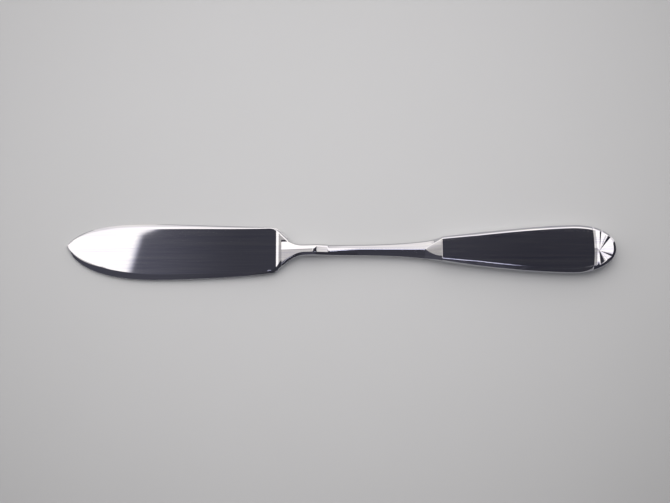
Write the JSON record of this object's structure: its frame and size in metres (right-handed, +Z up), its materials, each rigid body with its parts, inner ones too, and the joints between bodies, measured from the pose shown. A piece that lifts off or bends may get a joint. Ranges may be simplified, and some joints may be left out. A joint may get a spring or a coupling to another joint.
{
  "type": "butter knife",
  "caption": "Steel butter knife: flat spreading blade with bevelled edges, thin ridged shank and a flat tapering hollow handle that ends in a small fluted fan.",
  "frame": {"origin": "on the table, under the middle of the knife's length and width", "axes": "+X from the blade's tip to the handle's end, +Y from the belly of the blade to its spine, +Z up from the table"},
  "size_m": [0.17, 0.0176, 0.0048],
  "materials": {
    "blade_steel": "polished stainless steel with faint lengthwise hairlines",
    "shank_steel": "mirror-polished stainless steel",
    "handle_steel": "polished stainless steel with fine lengthwise hairlines on the panels",
    "filler_cement": "set handle cement, matt and hidden"
  },
  "bodies": {
    "root": {"blade": "blade_steel", "shank": "shank_steel", "handle_front_shell": "handle_steel", "handle_back_shell": "handle_steel", "handle_filler": "filler_cement"}
  },
  "joints": []
}
